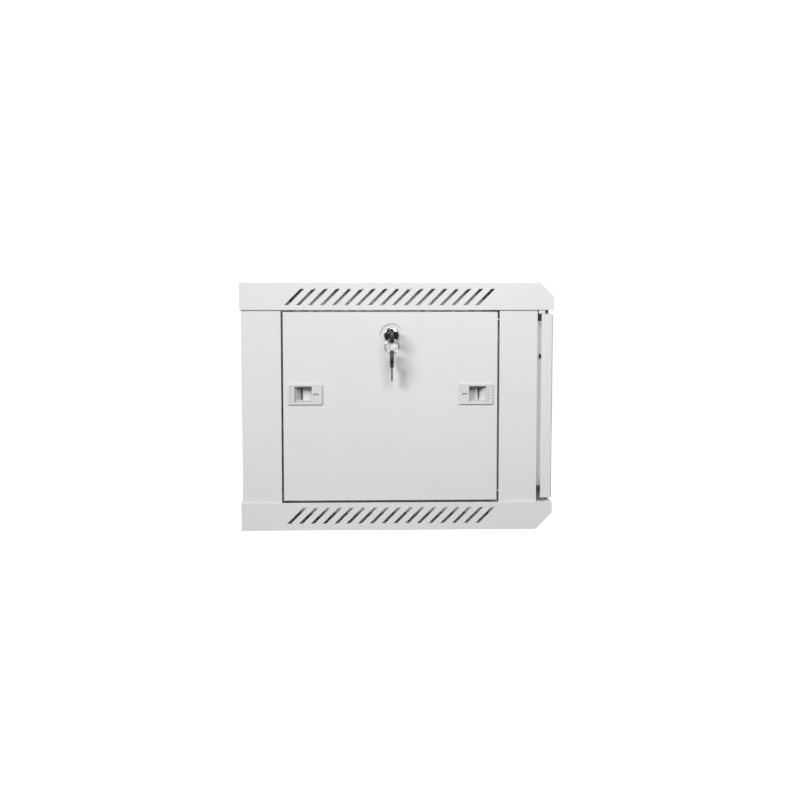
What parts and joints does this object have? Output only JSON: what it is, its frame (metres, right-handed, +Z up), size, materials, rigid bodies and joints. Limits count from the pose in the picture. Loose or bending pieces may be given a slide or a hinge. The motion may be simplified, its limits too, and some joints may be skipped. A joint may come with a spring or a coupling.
{
  "type": "network server rack cabinet",
  "caption": "Small wall-mount rack cabinet with a glazed front door, vented covers and lockable lift-off side panels on slide latches.",
  "frame": {"origin": "centre of the bottom cover's underside", "axes": "+X to the right-hand side seen from the door, +Y from the door to the wall side, +Z up"},
  "size_m": [0.2986, 0.31, 0.246],
  "materials": {
    "paint": "fine-texture powder coat",
    "steel": "zinc plated",
    "zinc": "galvanised",
    "chrome": "polished",
    "brass": "nickel plated",
    "plastic": "satin moulded",
    "dark_plastic": "satin moulded",
    "rubber": "matte",
    "glass": "clear tempered"
  },
  "bodies": {
    "cabinet": {"top_cover": "paint", "bottom_cover": "paint", "rear_panel": "paint", "cable_plate_top": "paint", "cable_plate_bottom": "paint", "pillar_front_left": "paint", "pillar_rear_left": "paint", "tie_rail_upper_left": "paint", "tie_rail_lower_left": "paint", "rack_rail_left": "zinc", "rail_screw_lower_left": "steel", "rail_screw_upper_left": "steel", "cover_screw_top_front_left": "steel", "cover_screw_top_rear_left": "steel", "cover_screw_bottom_front_left": "steel", "cover_screw_bottom_rear_left": "steel", "pillar_front_right": "paint", "pillar_rear_right": "paint", "tie_rail_upper_right": "paint", "tie_rail_lower_right": "paint", "rack_rail_right": "zinc", "rail_screw_lower_right": "steel", "rail_screw_upper_right": "steel", "cover_screw_top_front_right": "steel", "cover_screw_top_rear_right": "steel", "cover_screw_bottom_front_right": "steel", "cover_screw_bottom_rear_right": "steel"},
    "door": {"door_frame": "paint", "door_gasket": "rubber", "door_glass": "glass", "door_bumper": "rubber", "hinge_pin_lower": "brass", "door_lock_housing": "chrome", "door_lock_nut": "steel"},
    "hinge_pin": {"hinge_pin_upper": "brass"},
    "door_lock_core": {"door_lock_barrel": "chrome", "door_lock_cam": "steel"},
    "panel_left": {"side_panel_left": "paint", "latch_housing_front_left": "plastic", "latch_housing_rear_left": "plastic", "side_lock_left_housing": "chrome", "side_lock_left_nut": "steel"},
    "lock_core_left": {"side_lock_left_barrel": "chrome", "side_lock_left_cam": "steel"},
    "latch_front_left": {"latch_slide_front_left": "plastic"},
    "latch_rear_left": {"latch_slide_rear_left": "plastic"},
    "panel_right": {"side_panel_right": "paint", "latch_housing_front_right": "plastic", "latch_housing_rear_right": "plastic", "side_lock_right_housing": "chrome", "side_lock_right_nut": "steel"},
    "lock_core_right": {"side_lock_right_barrel": "chrome", "side_lock_right_cam": "steel"},
    "latch_front_right": {"latch_slide_front_right": "plastic"},
    "latch_rear_right": {"latch_slide_rear_right": "plastic"},
    "key": {"key_blade": "steel", "key_head": "dark_plastic"},
    "key_ring": {"key_ring": "chrome"},
    "spare_key": {"spare_key_blade": "steel", "spare_key_head": "dark_plastic"}
  },
  "joints": [
    {"name": "door_hinge", "type": "hinge", "parent": "cabinet", "child": "door", "pos_m": [-0.1325, -0.149, 0.1236], "axis": [0, 0, -1], "range_deg": [0, 170]},
    {"name": "hinge_pin_draw", "type": "slide", "parent": "door", "child": "hinge_pin", "axis": [0, 0, -1], "range_m": [0, 0.006], "stiffness_N_per_m": 300, "springref_m": -0.003},
    {"name": "door_lock_turn", "type": "hinge", "parent": "door", "child": "door_lock_core", "pos_m": [0.121, -0.145, 0.1236], "axis": [0, 1, 0], "range_deg": [0, 90]},
    {"name": "panel_left_pull", "type": "slide", "parent": "cabinet", "child": "panel_left", "axis": [-1, 0, 0], "range_m": [0, 0.05]},
    {"name": "lock_left_turn", "type": "hinge", "parent": "panel_left", "child": "lock_core_left", "pos_m": [-0.13, 0.0055, 0.1943], "axis": [1, 0, 0], "range_deg": [0, 90]},
    {"name": "latch_front_left_slide", "type": "slide", "parent": "panel_left", "child": "latch_front_left", "axis": [0, -1, 0], "range_m": [0, 0.0032]},
    {"name": "latch_rear_left_slide", "type": "slide", "parent": "panel_left", "child": "latch_rear_left", "axis": [0, 1, 0], "range_m": [0, 0.0032]},
    {"name": "panel_right_pull", "type": "slide", "parent": "cabinet", "child": "panel_right", "axis": [1, 0, 0], "range_m": [0, 0.05]},
    {"name": "lock_right_turn", "type": "hinge", "parent": "panel_right", "child": "lock_core_right", "pos_m": [0.13, 0.0055, 0.1943], "axis": [1, 0, 0], "range_deg": [0, 90]},
    {"name": "latch_front_right_slide", "type": "slide", "parent": "panel_right", "child": "latch_front_right", "axis": [0, -1, 0], "range_m": [0, 0.0032]},
    {"name": "latch_rear_right_slide", "type": "slide", "parent": "panel_right", "child": "latch_rear_right", "axis": [0, 1, 0], "range_m": [0, 0.0032]},
    {"name": "key_pull", "type": "slide", "parent": "lock_core_left", "child": "key", "axis": [-1, 0, 0], "range_m": [0, 0.02]},
    {"name": "key_ring_swing", "type": "hinge", "parent": "key", "child": "key_ring", "pos_m": [-0.1514, 0.0055, 0.19043], "axis": [0, 1, 0], "range_deg": [-7, 60]},
    {"name": "spare_key_swing", "type": "hinge", "parent": "key_ring", "child": "spare_key", "pos_m": [-0.1514, 0.0055, 0.17663], "axis": [0, 1, 0], "range_deg": [-7, 45]}
  ]
}
